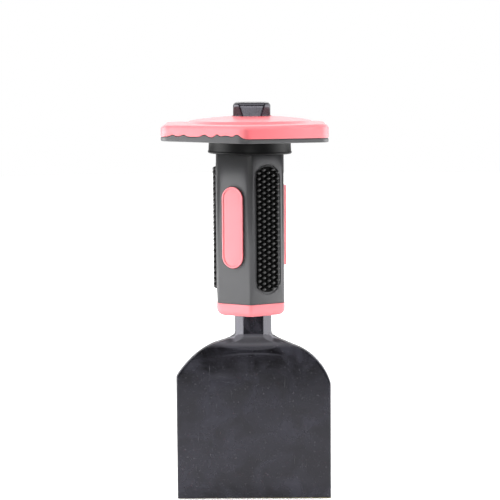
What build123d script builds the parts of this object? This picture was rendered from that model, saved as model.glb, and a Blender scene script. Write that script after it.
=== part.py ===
"""Brick bolster chisel, 90 mm wide, with a hexagonal soft grip and a hexagonal protective hood.

Frame: millimetres, +Z up the shank, X across the blade, Y through its thickness.
The origin is the middle of the cutting edge. The face that is shown first looks along +Y.
"""
import os
from math import cos, hypot, radians, sin

from build123d import *

# Steel forging: blade
blade_width = 90.0
edge_land = 1.2                # flat that is left on the ground edge
bevel_height = 8.0
bevel_thickness = 4.2          # blade thickness where the ground bevel begins
shoulder_thickness = 7.0       # blade thickness just under the neck
right_shoulder_z = 68.6        # where the straight side ends
left_shoulder_z = 73.5
right_shoulder_radius = 34.0
left_shoulder_radius = 50.0
shoulder_inner_x = 23.0        # inner end of both shoulder arcs
right_inner_z = 91.6
left_inner_z = 92.9
neck_base_x = 13.0             # where the shoulders meet the neck fillet
neck_base_z = 96.0
neck_top_z = 99.3              # from here up the bar keeps its section

# Steel forging: bar and striking head
shank_flats = 21.3             # across the wide flats
shank_facet = 11.0             # width of a wide flat
root_width = 37.0              # the neck's foot, where it runs into the blade
root_thickness = 6.4
root_z = 90.8
bare_neck = 10.8               # bar that shows between the neck's root and the grip
head_height = 7.55             # bar that stands out of the hood's dome
head_facet = 15.7              # the head's corners are filled out, so its flats widen to this
head_round = 2.1

# Grip
grip_flats = 38.6
grip_offset_x = -1.25          # the rubber was moulded a little off the shank's axis
grip_vertex_radius = 1.6
sleeve_length = 85.5           # sleeve that shows between the end ring and the hood's socket
end_ring_height = 7.3
end_ring_proud = 0.3           # how far the ring stands out past the sleeve, on each flat
end_ring_bottom_radius = 4.0
end_ring_floor = 3.0
core_wall = 2.6                # hard core's wall at the bar's corners

# Knurled pads and oval inlays, stadium shaped, set into alternate faces of the grip
pad_width = 17.0
pad_end_margin = 5.5           # plain sleeve above and below a pad
pad_depth = 2.2                # how deep it is set into the sleeve
pad_border_proud = 0.5
pad_field_proud = 2.2
pad_field_margin = 2.1         # smooth border round the knurled field
inlay_width = 13.7
inlay_height = 46.6
inlay_rise = 1.25              # the inlays sit a little above the sleeve's middle
inlay_depth = 2.0
inlay_proud = 1.5
inlay_rim = 1.3
inlay_dish = 0.5               # how far the centre is sunk below the rim
seat_clearance = 0.0           # the soft parts are bonded, so their faces touch

# Hood
hood_flats = 94.6
hood_offset_x = -4.1
hood_vertex_radius = 7.0
socket_wall = 1.4              # at the grip's corners
socket_height = 7.65
socket_depth = 4.8             # how far the sleeve goes up into it
socket_lip = 0.5               # how far the lip at the socket's mouth stands out
socket_lip_height = 1.3
rim_height = 2.5               # grey rim that shows under the shell
shell_height = 7.4
shell_edge_radius = 2.6
shell_wall = 3.2
dome_diameter = 73.0
dome_offset_x = -1.0           # the dome is nearly centred on the shank, the hood is not
dome_flank = 1.7               # height of the dome's sloping side
dome_step = 1.6                # how much wider the dome is at its foot
dome_rise = 4.15               # whole height of the dome above the shell's flat

# Places that follow from the sizes above
shank_corner = hypot(shank_flats / 2, shank_facet / 2)
core_diameter = 2 * (shank_corner + core_wall)
grip_bottom_z = neck_top_z + bare_neck
sleeve_bottom_z = grip_bottom_z + end_ring_height
socket_bottom_z = sleeve_bottom_z + sleeve_length
sleeve_top_z = socket_bottom_z + socket_depth
hood_bottom_z = socket_bottom_z + socket_height
rim_top_z = hood_bottom_z + rim_height
shell_top_z = rim_top_z + shell_height
core_top_z = shell_top_z - shell_wall
dome_top_z = shell_top_z + dome_rise
head_top_z = dome_top_z + head_height
socket_diameter = grip_flats / cos(radians(30)) + 2 * socket_wall
pad_height = sleeve_length - 2 * pad_end_margin
pad_centre_z = sleeve_bottom_z + sleeve_length / 2
inlay_centre_z = pad_centre_z + inlay_rise

# Which way each pad and inlay faces, in degrees round the grip: 0 is the front, 90 the right
pad_angles = {"left": -90.0, "front": 30.0, "back": 150.0}
inlay_angles = {"front": -30.0, "right": 90.0, "back": -150.0}


def octagon(flats, facet):
    """A square with its corners cut, so that its four wide flats are `facet` long."""
    cut = (flats - facet) / 2
    return chamfer(Rectangle(flats, flats).vertices(), cut)


def bar(flats, bottom, top):
    """A length of the eight-sided bar, or of a bore that fits it."""
    facet = shank_facet + (flats - shank_flats)
    return Pos(0, 0, bottom) * extrude(octagon(flats, facet), top - bottom)


def hexagon(flats, radius):
    """A hexagon with two flats facing left and right, and rounded corners."""
    outline = RegularPolygon(flats / 2, 6, major_radius=False, rotation=30)
    return fillet(outline.vertices(), radius)


def hexagon_prism(flats, radius, bottom, top):
    """An upright hexagonal prism."""
    return Pos(0, 0, bottom) * extrude(hexagon(flats, radius), top - bottom)


def disc(diameter, bottom, top):
    """An upright cylinder between two heights."""
    return Pos(0, 0, bottom) * extrude(Circle(diameter / 2), top - bottom)


def blade_outline():
    """The blade seen from the front, from the edge to the neck, on the XZ plane."""
    half = blade_width / 2
    neck = shank_flats / 2
    left = Line((-neck, neck_top_z), (-neck_base_x, neck_base_z))
    left_slope = Line(left @ 1, (-shoulder_inner_x, left_inner_z))
    left_arc = RadiusArc(left_slope @ 1, (-half, left_shoulder_z), -left_shoulder_radius)
    side_a = Line(left_arc @ 1, (-half, 0))
    edge = Line(side_a @ 1, (half, 0))
    side_b = Line(edge @ 1, (half, right_shoulder_z))
    right_arc = RadiusArc(side_b @ 1, (shoulder_inner_x, right_inner_z), -right_shoulder_radius)
    right_slope = Line(right_arc @ 1, (neck_base_x, neck_base_z))
    right = Line(right_slope @ 1, (neck, neck_top_z))
    top = Line(right @ 1, left @ 0)
    return make_face([left, left_slope, left_arc, side_a, edge, side_b, right_arc, right_slope, right, top])


def blade_taper():
    """The blade seen from its side: a wedge that thins to the bevel and then to the edge."""
    slope = (shoulder_thickness - bevel_thickness) / (right_inner_z - bevel_height)
    top_thickness = shoulder_thickness + slope * (neck_top_z - right_inner_z)
    outline = Polyline(
        (-edge_land / 2, 0),
        (-bevel_thickness / 2, bevel_height),
        (-top_thickness / 2, neck_top_z),
        (top_thickness / 2, neck_top_z),
        (bevel_thickness / 2, bevel_height),
        (edge_land / 2, 0),
        close=True,
    )
    return make_face(outline)


def blade():
    """The blade: its front outline and its side taper, both extruded and kept where they cross."""
    front = extrude(Plane.XZ * blade_outline(), shoulder_thickness * 2, both=True)
    side = extrude(Plane.YZ * blade_taper(), blade_width, both=True)
    return front & side


def neck_root():
    """The bar's foot, which flares sideways and thins until it is lost in the blade."""
    upper = Plane.XY.offset(neck_top_z) * octagon(shank_flats, shank_facet)
    cut = root_thickness / 4
    lower = Plane.XY.offset(root_z) * chamfer(Rectangle(root_width, root_thickness).vertices(), cut)
    return loft([lower, upper])


def striking_head():
    """The bar's end above the hood: it turns from eight-sided to nearly square, with a rounded top."""
    lower = Plane.XY.offset(dome_top_z) * octagon(shank_flats, shank_facet)
    upper = Plane.XY.offset(head_top_z) * octagon(shank_flats, head_facet)
    head = loft([lower, upper])
    return fillet(head.faces().sort_by(Axis.Z)[-1].edges(), head_round)


def chisel_forging():
    """One forging: blade, neck root, eight-sided shank and the striking head with rounded edges."""
    root = neck_root() & extrude(Plane.XZ * blade_outline(), shank_flats, both=True)
    return blade() + root + bar(shank_flats, neck_top_z, dome_top_z) + striking_head()


def grip_core():
    """Hard sleeve on the shank, from the end ring's floor up into the hood."""
    outside = disc(core_diameter, grip_bottom_z + end_ring_floor, core_top_z)
    bore = bar(shank_flats + 2 * seat_clearance, grip_bottom_z, core_top_z)
    return outside - bore


def stadium(width, height):
    """A slot outline that stands upright."""
    return Rot(0, 0, 90) * SlotOverall(height, width)


def on_face(angle, centre_z):
    """The plane of a grip face: its normal points outwards, its Y runs up the grip."""
    normal = (sin(radians(angle)), -cos(radians(angle)), 0)
    origin = (normal[0] * grip_flats / 2 + grip_offset_x, normal[1] * grip_flats / 2, centre_z)
    across = (cos(radians(angle)), sin(radians(angle)), 0)
    return Plane(origin=origin, x_dir=across, z_dir=normal)


def slab(angle, centre_z, width, height, inner, outer):
    """A stadium-shaped slab on a grip face, from `inner` to `outer` along the face's normal."""
    face = on_face(angle, centre_z).offset(inner) * stadium(width, height)
    return extrude(face, outer - inner)


def knurled_pad(angle):
    """A pad with a smooth border and a raised field."""
    plate = slab(angle, pad_centre_z, pad_width, pad_height, -pad_depth, pad_border_proud)
    field_width = pad_width - 2 * pad_field_margin
    field_height = pad_height - 2 * pad_field_margin
    field = slab(angle, pad_centre_z, field_width, field_height, pad_border_proud, pad_field_proud)
    return plate + field


def oval_inlay(angle):
    """An inlay with a raised rim round a slightly sunk centre."""
    plate = slab(angle, inlay_centre_z, inlay_width, inlay_height, -inlay_depth, inlay_proud)
    dish_width = inlay_width - 2 * inlay_rim
    dish_height = inlay_height - 2 * inlay_rim
    dish = slab(angle, inlay_centre_z, dish_width, dish_height, inlay_proud - inlay_dish, inlay_proud + 1)
    return plate - dish


def grip_sleeve():
    """The hexagonal rubber sleeve, with a pocket for each pad and inlay."""
    outside = hexagon_prism(grip_flats, grip_vertex_radius, sleeve_bottom_z, sleeve_top_z)
    body = Pos(grip_offset_x, 0, 0) * outside
    body -= disc(core_diameter + 2 * seat_clearance, sleeve_bottom_z, sleeve_top_z)
    out = grip_vertex_radius + pad_field_proud
    for angle in pad_angles.values():
        body -= slab(
            angle,
            pad_centre_z,
            pad_width + 2 * seat_clearance,
            pad_height + 2 * seat_clearance,
            -pad_depth - seat_clearance,
            out,
        )
    for angle in inlay_angles.values():
        body -= slab(
            angle,
            inlay_centre_z,
            inlay_width + 2 * seat_clearance,
            inlay_height + 2 * seat_clearance,
            -inlay_depth - seat_clearance,
            out,
        )
    return body


def end_ring():
    """The ring under the sleeve: a floor round the shank and a wall round the core."""
    flats = grip_flats + 2 * end_ring_proud
    floor_z = grip_bottom_z + end_ring_floor
    body = hexagon_prism(flats, grip_vertex_radius, grip_bottom_z, sleeve_bottom_z)
    body = Pos(grip_offset_x, 0, 0) * fillet(body.faces().sort_by(Axis.Z)[0].edges(), end_ring_bottom_radius)
    body -= disc(core_diameter + 2 * seat_clearance, floor_z, sleeve_bottom_z)
    body -= bar(shank_flats + 2 * seat_clearance, grip_bottom_z, floor_z)
    return body


def guard_base():
    """The hood's lower rim, the boss that fills the shell, and the round socket on the grip."""
    rim = hexagon_prism(hood_flats, hood_vertex_radius, hood_bottom_z, rim_top_z)
    inner_flats = hood_flats - 2 * shell_wall
    filling = hexagon_prism(inner_flats, hood_vertex_radius - shell_wall, rim_top_z, core_top_z)
    body = Pos(hood_offset_x, 0, 0) * (rim + filling)
    socket = disc(socket_diameter, socket_bottom_z, hood_bottom_z)
    socket += disc(socket_diameter + 2 * socket_lip, socket_bottom_z, socket_bottom_z + socket_lip_height)
    body += Pos(grip_offset_x, 0, 0) * socket
    pocket_flats = grip_flats + 2 * seat_clearance
    pocket = hexagon_prism(pocket_flats, grip_vertex_radius, socket_bottom_z, sleeve_top_z)
    body -= Pos(grip_offset_x, 0, 0) * pocket
    body -= disc(core_diameter + 2 * seat_clearance, sleeve_top_z, core_top_z)
    return body


def dome():
    """The raised round crown in the middle of the shell: a sloping flank and a shallow cap."""
    foot = dome_diameter / 2
    brow = foot - dome_step
    brow_z = shell_top_z + dome_flank
    cap_rise = dome_top_z - brow_z
    cap_radius = (brow**2 + cap_rise**2) / (2 * cap_rise)
    base = Line((0, shell_top_z), (foot, shell_top_z))
    flank = Line(base @ 1, (brow, brow_z))
    cap = RadiusArc(flank @ 1, (0, dome_top_z), -cap_radius)
    axis = Line(cap @ 1, base @ 0)
    return revolve(Plane.XZ * make_face([base, flank, cap, axis]), Axis.Z)


def guard_shell():
    """The hood's shell: a rounded hexagonal cap with its dome and a hole for the striking head."""
    cap = hexagon_prism(hood_flats, hood_vertex_radius, rim_top_z, shell_top_z)
    cap = fillet(cap.faces().sort_by(Axis.Z)[-1].edges(), shell_edge_radius)
    inner_flats = hood_flats - 2 * shell_wall
    cap -= hexagon_prism(inner_flats, hood_vertex_radius - shell_wall, rim_top_z, core_top_z)
    body = Pos(hood_offset_x, 0, 0) * cap
    body += Pos(dome_offset_x, 0, 0) * dome()
    return body - bar(shank_flats + 2 * seat_clearance, rim_top_z, head_top_z)


def main():
    """Write one file for each separate piece."""
    os.makedirs("parts", exist_ok=True)
    export_step(chisel_forging(), "parts/chisel_forging.step")
    export_step(grip_core(), "parts/grip_core.step")
    export_step(grip_sleeve(), "parts/grip_sleeve.step")
    for name, angle in pad_angles.items():
        export_step(knurled_pad(angle), f"parts/knurled_pad_{name}.step")
    for name, angle in inlay_angles.items():
        export_step(oval_inlay(angle), f"parts/oval_inlay_{name}.step")
    export_step(end_ring(), "parts/end_ring.step")
    export_step(guard_base(), "parts/guard_base.step")
    export_step(guard_shell(), "parts/guard_shell.step")


main()
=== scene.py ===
"""Brick bolster chisel: a lacquered forging with a hexagonal soft grip and a hexagonal hand guard.

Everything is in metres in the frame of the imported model: +Z up the shank, X across the blade,
and the first view looks along +Y.
"""

from functools import partial
from math import atan2, cos, exp, hypot, pi, radians, sin, sqrt, tan

import bmesh
import bpy
from bpy.props import FloatProperty, FloatVectorProperty, IntProperty, PointerProperty
from mathutils import Matrix, Vector, noise


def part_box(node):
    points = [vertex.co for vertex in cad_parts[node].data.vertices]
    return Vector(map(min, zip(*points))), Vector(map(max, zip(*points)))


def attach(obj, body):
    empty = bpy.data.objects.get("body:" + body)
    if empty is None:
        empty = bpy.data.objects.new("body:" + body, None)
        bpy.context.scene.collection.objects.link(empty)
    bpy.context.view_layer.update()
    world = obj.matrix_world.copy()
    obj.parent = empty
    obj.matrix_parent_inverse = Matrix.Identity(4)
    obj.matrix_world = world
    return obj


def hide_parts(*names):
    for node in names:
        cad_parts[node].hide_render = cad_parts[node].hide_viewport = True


bl_info = {
    "name": "Brick bolster chisel",
    "version": (1, 0, 0),
    "blender": (4, 5, 0),
    "location": "View3D > Sidebar > Bolster",
    "description": "Builds a brick bolster chisel round its packed frame",
    "category": "Object",
}

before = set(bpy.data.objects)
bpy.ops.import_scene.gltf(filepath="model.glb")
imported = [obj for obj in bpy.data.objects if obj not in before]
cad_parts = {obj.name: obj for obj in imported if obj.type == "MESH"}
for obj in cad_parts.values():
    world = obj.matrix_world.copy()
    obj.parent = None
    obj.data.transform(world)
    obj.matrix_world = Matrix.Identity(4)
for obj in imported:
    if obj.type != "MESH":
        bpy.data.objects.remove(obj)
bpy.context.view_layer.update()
BOX = {name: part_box(name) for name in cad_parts}

MM = 0.001
SIXTH = radians(60)
SHARP_ANGLE = radians(32)


def linear(hex_colour):
    """An sRGB hex colour as linear red, green, blue."""
    parts = [int(hex_colour[i : i + 2], 16) / 255 for i in (0, 2, 4)]
    return tuple(c / 12.92 if c <= 0.04045 else ((c + 0.055) / 1.055) ** 2.4 for c in parts)


# ---------------------------------------------------------------- settings


class BolsterSizes(bpy.types.PropertyGroup):
    """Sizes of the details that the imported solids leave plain."""

    edge_round: FloatProperty(
        name="Forged edge", description="Rounding of the forging's edges", default=1.1 * MM, unit="LENGTH"
    )
    knurl_pitch: FloatProperty(
        name="Knurl pitch", description="Distance between knurls down a column",
        default=3.24 * MM, unit="LENGTH",
    )
    knurl_column: FloatProperty(
        name="Knurl column", description="Distance between columns of knurls",
        default=3.05 * MM, unit="LENGTH",
    )
    knurl_height: FloatProperty(
        name="Knurl height", description="Height of one knurl", default=1.8 * MM, unit="LENGTH"
    )
    groove: FloatProperty(
        name="Seat gap", description="Gap between an inlay and its pocket", default=0.25 * MM, unit="LENGTH"
    )
    guard_tilt: FloatProperty(
        name="Guard tilt", description="How far the guard's rim leans, left side up",
        default=radians(0.8), subtype="ANGLE",
    )
    facets: IntProperty(
        name="Facets", description="Vertices round each turned piece", default=360, min=60, max=720
    )


class BolsterColours(bpy.types.PropertyGroup):
    """Colours of the finishes."""

    lacquer: FloatVectorProperty(
        name="Lacquer", description="Black lacquer on the forging", default=linear("0c0c10"), subtype="COLOR"
    )
    bare_steel: FloatVectorProperty(
        name="Bare steel", description="Steel under the lacquer", default=linear("8d8663"), subtype="COLOR"
    )
    grip: FloatVectorProperty(
        name="Grip", description="Grey rubber of the sleeve", default=linear("474749"), subtype="COLOR"
    )
    pad: FloatVectorProperty(
        name="Pads", description="Black rubber of the knurled pads", default=linear("101010"), subtype="COLOR"
    )
    pink: FloatVectorProperty(
        name="Shell", description="Pink plastic of the guard, ring and inlays",
        default=linear("f2848b"), subtype="COLOR",
    )


class BolsterStage(bpy.types.PropertyGroup):
    """Camera and lights."""

    distance: FloatProperty(
        name="Distance", description="From the shank to the camera", default=1.05, unit="LENGTH"
    )
    elevation: FloatProperty(
        name="Elevation", description="Camera's angle above level", default=radians(5.9), subtype="ANGLE"
    )
    aim_height: FloatProperty(
        name="Aim height", description="Height that the camera looks at", default=146.75 * MM, unit="LENGTH"
    )
    lens: FloatProperty(name="Lens", description="Focal length in millimetres", default=131.2)
    side: FloatProperty(
        name="Side step", description="Camera's place across", default=-1.55 * MM, unit="LENGTH"
    )
    roll: FloatProperty(
        name="Roll", description="Camera's turn about its axis", default=radians(-0.42), subtype="ANGLE"
    )
    left_power: FloatProperty(name="Left light", description="Softbox power in watts", default=3.8)
    right_power: FloatProperty(name="Right light", description="Softbox power in watts", default=2.3)
    top_power: FloatProperty(name="Top light", description="Softbox power in watts", default=8.0)
    front_power: FloatProperty(name="Front light", description="Softbox power in watts", default=3.2)
    back_power: FloatProperty(name="Back light", description="Softbox power in watts", default=5.5)
    floor_power: FloatProperty(name="Floor light", description="Softbox power in watts", default=75.0)


def size_settings():
    """The size settings of this scene."""
    return bpy.context.scene.bolster_sizes


def colour_settings():
    """The colour settings of this scene."""
    return bpy.context.scene.bolster_colours


# ---------------------------------------------------------------- materials


def add_node(tree, kind, inputs=None, **settings):
    """Add one shader node with its settings; an input that is a socket is linked, any other is a value."""
    made = tree.nodes.new(kind)
    for name, value in settings.items():
        setattr(made, name, value)
    for name, value in (inputs or {}).items():
        if isinstance(value, bpy.types.NodeSocket):
            tree.links.new(value, made.inputs[name])
        else:
            made.inputs[name].default_value = value
    return made


def new_material(name):
    """An empty node material, its own add_node, and the object coordinates that its patterns read."""
    material = bpy.data.materials.new(name)
    material.use_nodes = True
    material.node_tree.nodes.clear()
    node = partial(add_node, material.node_tree)
    return material, node, node("ShaderNodeTexCoord").outputs["Object"]


def rgba(colour):
    """A colour with full alpha."""
    return (*colour, 1.0)


def shade(colour, factor):
    """The same colour, lighter or darker."""
    return (*(min(1.0, c * factor) for c in colour), 1.0)


def lacquered_steel(colours):
    """Black lacquer over a drop forging: gloss with a soft orange peel, worn through at the cutting edge."""
    material, node, place = new_material("black lacquer on forged steel")
    swell, peel, dust, smear = (
        node(
            "ShaderNodeTexNoise",
            {"Vector": place, "Scale": 1 / (size * MM), "Detail": detail, "Distortion": twist},
        ).outputs["Fac"]
        for size, detail, twist in ((22, 1.0, 0.0), (3.5, 2.0, 0.0), (0.9, 3.0, 0.0), (16, 5.0, 0.8))
    )
    haze = node("ShaderNodeMapRange", {"Value": smear, "From Min": 0.4, "From Max": 0.68}).outputs[0]
    dark, light = shade(colours.lacquer, 0.4), shade(colours.lacquer, 4.6)
    colour = node("ShaderNodeMix", {0: haze, 6: dark, 7: light}, data_type="RGBA").outputs[2]

    # Fine upright hairlines and specks of dust lie in the gloss.
    drawn = node(
        "ShaderNodeMapping", {"Vector": place, "Scale": (1.0, 1.0, 0.06), "Rotation": (0.0, radians(7), 0.0)}
    ).outputs[0]
    hairs = node(
        "ShaderNodeTexNoise", {"Vector": drawn, "Scale": 1 / (0.7 * MM), "Detail": 1.0}
    ).outputs["Fac"]
    scratch, specks = (
        node(
            "ShaderNodeMapRange", {"Value": source, "From Min": low, "From Max": high, "To Max": most}
        ).outputs[0]
        for source, low, high, most in ((hairs, 0.75, 0.82, 0.16), (dust, 0.67, 0.72, 0.22))
    )
    marks = node("ShaderNodeMath", {0: scratch, 1: specks}, operation="MAXIMUM").outputs[0]

    # Painted reflection: the lacquer's colour is lighter grey where the blade runs up into the bar.
    height = node("ShaderNodeSeparateXYZ", {"Vector": place}).outputs["Z"]
    foot, bar = (
        node(
            "ShaderNodeMapRange",
            {"Value": height, "From Min": low * MM, "From Max": high * MM, "To Min": start, "To Max": end},
            interpolation_type="SMOOTHSTEP",
        ).outputs[0]
        for low, high, start, end in ((89.5, 92.5, 0.0, 0.9), (97.5, 99.5, 1.0, 0.0))
    )
    painted_root_reflection = node("ShaderNodeMath", {0: foot, 1: bar}, operation="MULTIPLY").outputs[0]

    # The last millimetre above the edge is bare, with a ragged upper line.
    ragged = node("ShaderNodeMath", {0: dust, 1: 0.8 * MM, 2: height}, operation="MULTIPLY_ADD").outputs[0]
    worn = node(
        "ShaderNodeMapRange", {"Value": ragged, "From Min": 1.0 * MM, "From Max": 0.7 * MM}
    ).outputs[0]
    layers = ((painted_root_reflection, linear("403f43")), (marks, linear("8c8c90")), (worn, colours.bare_steel))
    for share, over in layers:
        colour = node("ShaderNodeMix", {0: share, 6: colour, 7: rgba(over)}, data_type="RGBA").outputs[2]
    gloss = node("ShaderNodeMapRange", {"Value": haze, "To Min": 0.13, "To Max": 0.27}).outputs[0]
    ripple = node("ShaderNodeBump", {"Height": swell, "Strength": 0.35, "Distance": 0.35 * MM}).outputs[0]
    skin = node(
        "ShaderNodeBump", {"Height": peel, "Strength": 0.3, "Distance": 0.05 * MM, "Normal": ripple}
    ).outputs[0]
    shader = node(
        "ShaderNodeBsdfPrincipled",
        {
            "Base Color": colour, "Roughness": gloss, "Metallic": worn, "IOR": 1.5,
            "Specular Tint": rgba(linear("f1effc")), "Normal": skin,
        },
    )
    node("ShaderNodeOutputMaterial", {"Surface": shader.outputs[0]})
    return material


def moulded_rubber(name, colour, grain, roughness, painted_shade_below=None):
    """Injection moulded thermoplastic rubber: matt skin, fine spark-eroded grain, faint flow clouds.

    Below the given height its colour is darkened almost to black as painted shade under the guard's rim, and
    it is made dull.
    """
    material, node, place = new_material(name)
    cloud, grit = (
        node("ShaderNodeTexNoise", {"Vector": place, "Scale": 1 / size, "Detail": detail}).outputs["Fac"]
        for size, detail in ((14 * MM, 2.0), (grain, 3.0))
    )
    dark, light = shade(colour, 0.86), shade(colour, 1.14)
    tone = node("ShaderNodeMix", {0: cloud, 6: dark, 7: light}, data_type="RGBA").outputs[2]
    gleam, sheen = 0.5, 0.12
    if painted_shade_below is not None:
        # Painted shade: below that height the colour is darkened almost to black and the specular level is
        # lowered.
        height = node("ShaderNodeSeparateXYZ", {"Vector": place}).outputs["Z"]
        rim_shade_share = node(
            "ShaderNodeMapRange", {"Value": height, "From Min": painted_shade_below, "From Max": painted_shade_below - 0.8 * MM}
        ).outputs[0]
        tone = node("ShaderNodeMix", {0: rim_shade_share, 6: tone, 7: shade(colour, 0.1)}, data_type="RGBA").outputs[2]
        gleam = node("ShaderNodeMapRange", {"Value": rim_shade_share, "To Min": 0.5, "To Max": 0.13}).outputs[0]
        sheen = 0.0
    rough = node(
        "ShaderNodeMapRange", {"Value": grit, "To Min": roughness - 0.06, "To Max": roughness + 0.06}
    ).outputs[0]
    skin = node("ShaderNodeBump", {"Height": grit, "Strength": 0.35, "Distance": 0.06 * MM}).outputs[0]
    shader = node(
        "ShaderNodeBsdfPrincipled",
        {
            "Base Color": tone, "Roughness": rough, "IOR": 1.52, "Specular IOR Level": gleam,
            "Normal": skin, "Sheen Weight": sheen, "Sheen Roughness": 0.4,
        },
    )
    node("ShaderNodeOutputMaterial", {"Surface": shader.outputs[0]})
    return material


def knurled_rubber(colour, low, high):
    """Black knurled rubber with painted light: painted shade makes it black down between the studs, and
    painted highlight makes their tops paler.
    """
    material, node, place = new_material("black thermoplastic rubber")
    middle = (grip_centre(), 0, 0)
    centred = node("ShaderNodeVectorMath", {0: place, 1: middle}, operation="SUBTRACT").outputs[0]
    reach = None
    for angle in PAD_ANGLES.values():
        outward = (sin(angle), -cos(angle), 0)
        along = node(
            "ShaderNodeVectorMath", {0: centred, 1: outward}, operation="DOT_PRODUCT"
        ).outputs["Value"]
        if reach is None:
            reach = along
        else:
            reach = node("ShaderNodeMath", {0: reach, 1: along}, operation="MAXIMUM").outputs[0]
    # Painted shade in the gaps and painted highlight on the tops, by how far a point stands out from the
    # grip.
    painted_shade_to_highlight = node("ShaderNodeMapRange", {"Value": reach, "From Min": low, "From Max": high}).outputs[0]
    grit = node(
        "ShaderNodeTexNoise", {"Vector": place, "Scale": 1 / (0.6 * MM), "Detail": 3.0}
    ).outputs["Fac"]
    dark, light = shade(colour, 0.2), shade(colour, 4.5)
    tone = node("ShaderNodeMix", {0: painted_shade_to_highlight, 6: dark, 7: light}, data_type="RGBA").outputs[2]
    gleam = node("ShaderNodeMapRange", {"Value": painted_shade_to_highlight, "To Min": 0.08, "To Max": 0.7}).outputs[0]
    skin = node("ShaderNodeBump", {"Height": grit, "Strength": 0.35, "Distance": 0.05 * MM}).outputs[0]
    shader = node(
        "ShaderNodeBsdfPrincipled",
        {"Base Color": tone, "Roughness": 0.34, "IOR": 1.52, "Specular IOR Level": gleam, "Normal": skin},
    )
    node("ShaderNodeOutputMaterial", {"Surface": shader.outputs[0]})
    return material


def moulded_plastic(name, colour, painted_front_shade=False):
    """Soft pink polypropylene, injection moulded: satin, a little light passes into it."""
    material, node, place = new_material(name)
    cloud, grit = (
        node("ShaderNodeTexNoise", {"Vector": place, "Scale": 1 / (size * MM), "Detail": 2.0}).outputs["Fac"]
        for size in (18, 0.7)
    )
    dark, light = shade(colour, 0.93), shade(colour, 1.05)
    tone = node("ShaderNodeMix", {0: cloud, 6: dark, 7: light}, data_type="RGBA").outputs[2]
    if painted_front_shade:
        # Painted shade: the pink is deeper on the front right side beside the front corner, fading to the
        # right and upwards.
        axis = node("ShaderNodeSeparateXYZ", {"Vector": place})
        front_shade_share = 0.5
        spans = (("X", -5.5, -3.5), ("X", 34.0, 0.0), ("Y", -24.0, -28.0), ("Z", 219.6, 217.6))
        for along, start, end in spans:
            fade = node(
                "ShaderNodeMapRange",
                {"Value": axis.outputs[along], "From Min": start * MM, "From Max": end * MM},
                interpolation_type="SMOOTHSTEP",
            ).outputs[0]
            front_shade_share = node("ShaderNodeMath", {0: fade, 1: front_shade_share}, operation="MULTIPLY").outputs[0]
        front_shade_pink = rgba(linear("e2565f"))
        tone = node("ShaderNodeMix", {0: front_shade_share, 6: tone, 7: front_shade_pink}, data_type="RGBA").outputs[2]
    rough = node("ShaderNodeMapRange", {"Value": cloud, "To Min": 0.36, "To Max": 0.46}).outputs[0]
    skin = node("ShaderNodeBump", {"Height": grit, "Strength": 0.2, "Distance": 0.04 * MM}).outputs[0]
    shader = node(
        "ShaderNodeBsdfPrincipled",
        {
            "Base Color": tone, "Roughness": rough, "IOR": 1.49, "Normal": skin, "Subsurface Weight": 0.15,
            "Subsurface Radius": (1.0, 0.35, 0.3), "Subsurface Scale": 1.2 * MM,
        },
    )
    node("ShaderNodeOutputMaterial", {"Surface": shader.outputs[0]})
    return material


def pale_paper(name):
    """Seamless white studio paper with a faint tooth; it glows with painted light, more strongly away from
    the tool.
    """
    material, node, place = new_material(name)
    tooth = node("ShaderNodeTexNoise", {"Vector": place, "Scale": 1 / (2 * MM), "Detail": 2.0}).outputs["Fac"]
    dark, light = rgba(linear("f4f4f4")), rgba(linear("f8f8f8"))
    tone = node("ShaderNodeMix", {0: tooth, 6: dark, 7: light}, data_type="RGBA").outputs[2]
    # Painted light: the paper glows, weakly near the tool and more strongly beyond.
    away = node("ShaderNodeVectorMath", {0: place}, operation="LENGTH").outputs["Value"]
    glow = node(
        "ShaderNodeMapRange",
        {"Value": away, "From Min": 0.4, "From Max": 0.75, "To Min": 0.1, "To Max": 0.8},
        interpolation_type="SMOOTHSTEP",
    ).outputs[0]
    shader = node(
        "ShaderNodeBsdfPrincipled",
        {"Base Color": tone, "Roughness": 0.9, "Emission Color": tone, "Emission Strength": glow},
    )
    node("ShaderNodeOutputMaterial", {"Surface": shader.outputs[0]})
    return material


# ---------------------------------------------------------------- modelling helpers


def keep_piece(bm, name, material, nodes):
    """Close the mesh, make it an object with its material on the root body, and hide the solids that it
    replaces.
    """
    bmesh.ops.remove_doubles(bm, verts=bm.verts, dist=0.001 * MM)
    bmesh.ops.recalc_face_normals(bm, faces=bm.faces)
    flat = bm.faces.layers.int.get("flat")
    for face in bm.faces:
        face.smooth = not (flat and face[flat])
    mesh = bpy.data.meshes.new(name)
    bm.to_mesh(mesh)
    bm.free()
    mesh.set_sharp_from_angle(angle=SHARP_ANGLE)
    piece = bpy.data.objects.new(name, mesh)
    bpy.context.scene.collection.objects.link(piece)
    mesh.materials.append(material)
    weighted = piece.modifiers.new("even shading", "WEIGHTED_NORMAL")
    weighted.keep_sharp = True
    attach(piece, "root")
    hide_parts(*nodes)
    return piece


def sweep(bm, count, rings, tag_ring=None):
    """Sweep a ring of vertices through places, each a function of the vertex's turn angle or number."""
    tag = bm.verts.layers.float.new("turn")
    start = bmesh.ops.create_circle(bm, segments=count, radius=1.0)["verts"]
    for number, vert in enumerate(start):
        vert[tag] = number if tag_ring else atan2(vert.co.y, vert.co.x)
    edges = list({edge for vert in start for edge in vert.link_edges})
    verts = start
    first = edges
    for index, place in enumerate(rings):
        if index:
            made = bmesh.ops.extrude_edge_only(bm, edges=edges)["geom"]
            verts = [item for item in made if isinstance(item, bmesh.types.BMVert)]
            edges = [item for item in made if isinstance(item, bmesh.types.BMEdge)]
        for vert in verts:
            vert.co = place(vert[tag])
    return first, edges


def quarter_round(radius, steps):
    """The insets and rises of a quarter round, from upright to flat."""
    for step in range(1, steps + 1):
        turn = step / steps * pi / 2
        yield radius * (1 - cos(turn)), radius * sin(turn)


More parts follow.
